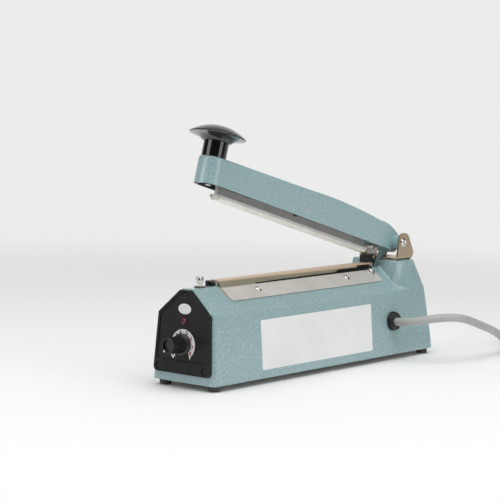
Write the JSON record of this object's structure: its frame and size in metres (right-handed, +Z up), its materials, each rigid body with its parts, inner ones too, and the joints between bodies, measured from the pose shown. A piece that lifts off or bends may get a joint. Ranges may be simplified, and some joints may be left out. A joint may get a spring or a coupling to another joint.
{
  "type": "hand impulse sealer",
  "caption": "Table-top hand impulse sealer, arm sprung open: grey-green case, sealing bar under brown cloth, black panel with timer knob, mushroom knob on the arm and mains lead.",
  "frame": {"origin": "on the table, under the middle of the sealer's own box (without the mains lead)", "axes": "+X from the control panel to the hinge end, +Z up, -Y the side the mains lead leaves by"},
  "size_m": [0.5231, 0.188, 0.2164],
  "materials": {
    "case_paint": "hammered grey-green stove enamel",
    "arm_paint": "hammered grey-green stove enamel",
    "black_plastic": "satin black moulding",
    "gloss_black": "polished black phenolic",
    "chrome": "bright nickel plate",
    "plated_sheet": "satin nickel plate",
    "zinc_steel": "zinc plated",
    "aluminium": "extruded, as drawn",
    "silicone": "pale silicone rubber",
    "rubber": "black rubber",
    "tape": "woven glass tape",
    "cloth": "coated glass cloth, brown",
    "element": "nickel-chrome strip",
    "red_lens": "clear red moulding",
    "board": "green circuit board",
    "laminations": "stacked steel sheet",
    "copper": "varnished copper wire",
    "cord_grey": "warm grey flexible jacket",
    "brass": "plain brass"
  },
  "bodies": {
    "case": {"housing": "case_paint", "bottom_plate": "zinc_steel", "rubber_feet": "rubber", "foot_screws": "zinc_steel", "front_panel": "black_plastic", "panel_screws": "black_plastic", "lamp_lens": "red_lens", "lamp_holder": "black_plastic", "potentiometer": "zinc_steel", "potentiometer_nut": "zinc_steel", "timer_board": "board", "board_pillars": "brass", "transformer_core": "laminations", "transformer_winding": "copper", "transformer_strap": "zinc_steel", "transformer_screws": "zinc_steel", "rod_sleeve": "chrome", "micro_switch": "black_plastic", "switch_bracket": "zinc_steel", "sealing_bar": "aluminium", "bar_screws": "zinc_steel", "bar_tape": "tape", "heating_element": "element", "sealing_cloth": "cloth", "cloth_plate_near": "plated_sheet", "cloth_plate_far": "plated_sheet", "plate_screws": "chrome", "corner_washers": "chrome", "front_clamp_block": "black_plastic", "rear_clamp_block": "black_plastic", "hinge_bracket": "plated_sheet", "bracket_screws": "chrome", "hinge_pin": "chrome", "hinge_nut": "chrome", "return_spring": "zinc_steel", "spring_anchor": "zinc_steel", "strain_relief": "black_plastic", "mains_cord": "cord_grey", "cord_coil": "cord_grey", "mains_plug": "cord_grey", "plug_pins": "brass"},
    "arm_assembly": {"arm": "arm_paint", "hinge_bushes": "brass", "press_bar_pin": "chrome", "bar_clip": "chrome", "clip_screw": "chrome", "knob_collar": "gloss_black", "knob_spring": "zinc_steel"},
    "pressure_bar_assembly": {"pressure_bar": "aluminium", "silicone_strip": "silicone", "press_grommet": "rubber"},
    "knob_assembly": {"handle_knob": "gloss_black", "knob_plunger": "zinc_steel"},
    "switch_rod": {"push_rod": "chrome"},
    "timer_dial_knob": {"timer_knob": "black_plastic", "timer_spindle": "zinc_steel"}
  },
  "joints": [
    {"name": "arm_hinge", "type": "hinge", "parent": "case", "child": "arm_assembly", "pos_m": [0.13192, 0, 0.1046], "axis": [0, -1, 0], "range_deg": [0, 15.26], "stiffness_Nm_per_rad": 1.6, "springref_deg": -28.65, "deforming": ["return_spring"]},
    {"name": "bar_rock", "type": "hinge", "parent": "arm_assembly", "child": "pressure_bar_assembly", "pos_m": [-0.00526, 0, 0.1413], "axis": [0, 1, 0], "range_deg": [-1, 0], "stiffness_Nm_per_rad": 6},
    {"name": "knob_press", "type": "slide", "parent": "arm_assembly", "child": "knob_assembly", "axis": [-0.2632, 0, -0.9647], "range_m": [0, 0.0075], "stiffness_N_per_m": 600, "springref_m": -0.004, "deforming": ["knob_spring"]},
    {"name": "rod_press", "type": "slide", "parent": "case", "child": "switch_rod", "axis": [0, 0, -1], "range_m": [0, 0.0022], "stiffness_N_per_m": 400, "springref_m": -0.002},
    {"name": "timer_turn", "type": "hinge", "parent": "case", "child": "timer_dial_knob", "pos_m": [-0.15843, 0, 0.03712], "axis": [0.999, 0, -0.0454], "range_deg": [0, 270]}
  ]
}
